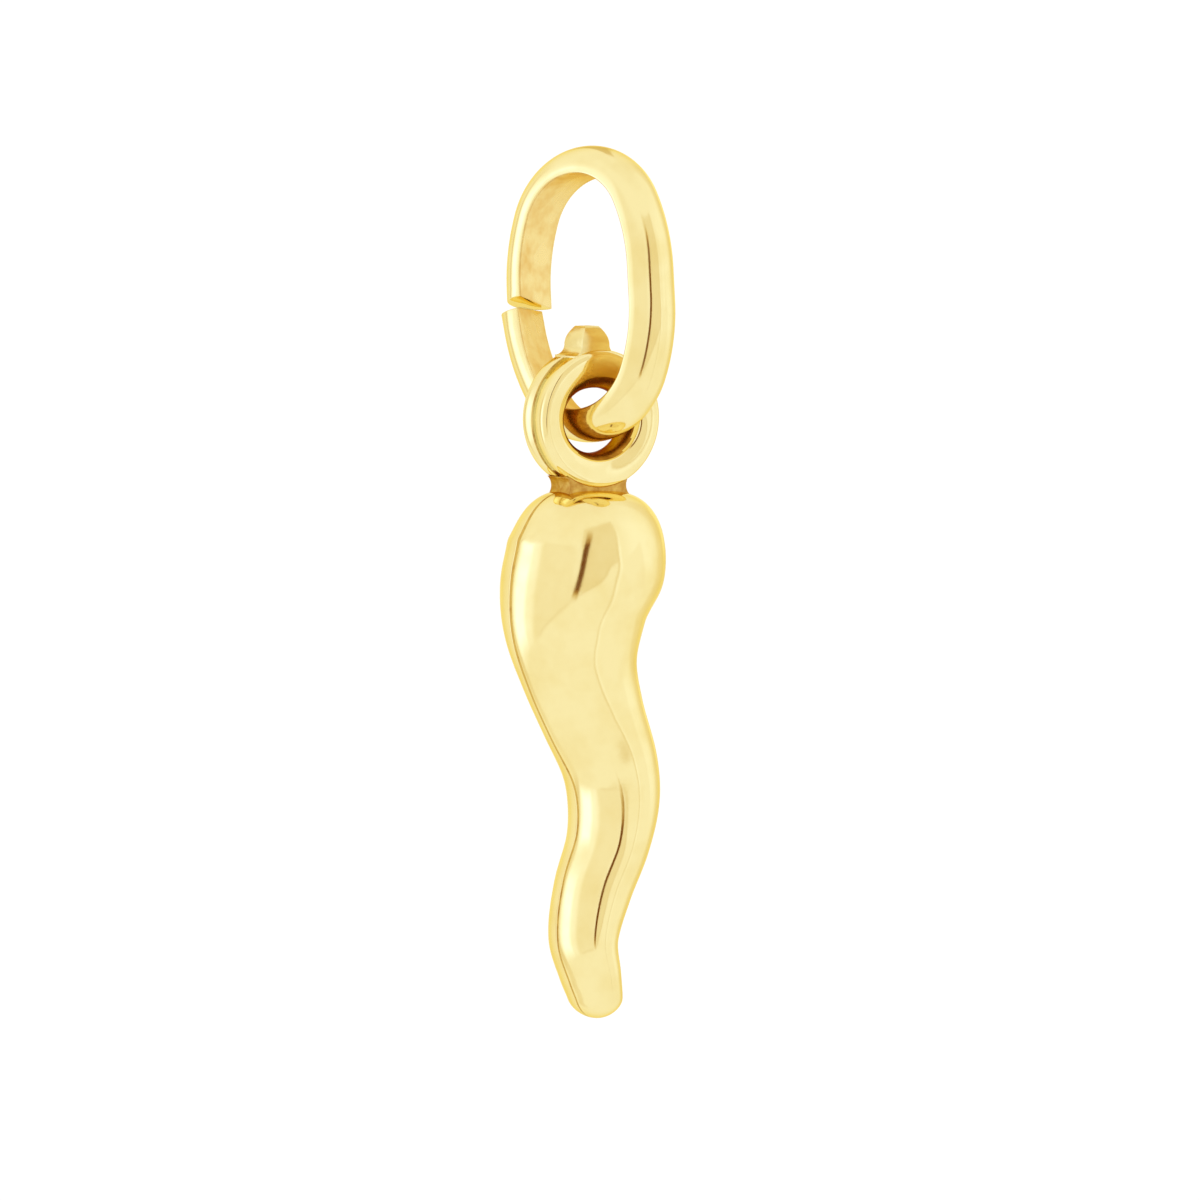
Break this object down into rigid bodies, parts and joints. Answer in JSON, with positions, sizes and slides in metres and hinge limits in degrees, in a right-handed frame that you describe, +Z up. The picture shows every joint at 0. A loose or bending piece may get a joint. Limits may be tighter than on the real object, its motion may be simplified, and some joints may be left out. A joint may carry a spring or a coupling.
{
  "type": "horn charm pendant",
  "caption": "Hollow stamped gold horn with an S-curved body and an eye ring, hanging from a loose open oval bail of half-round wire.",
  "frame": {"origin": "inner top of the bail, where a chain bears", "axes": "+Z up, the pendant hangs down along -Z; the horn's front faces -Y, +X is to the right seen from the front"},
  "size_m": [0.0044, 0.0051, 0.0219],
  "materials": {
    "bail_gold": "polished yellow gold, satin on the wire's flat side",
    "horn_gold": "high-polished yellow gold"
  },
  "bodies": {
    "bail": {"bail": "bail_gold"},
    "horn": {"horn": "horn_gold"}
  },
  "joints": [
    {"name": "horn_swing", "type": "hinge", "parent": "bail", "child": "horn", "pos_m": [-0.00052, -0.00143, -0.00618], "axis": [0.3524, -0.9179, 0.1822], "range_deg": [-30, 30]}
  ]
}
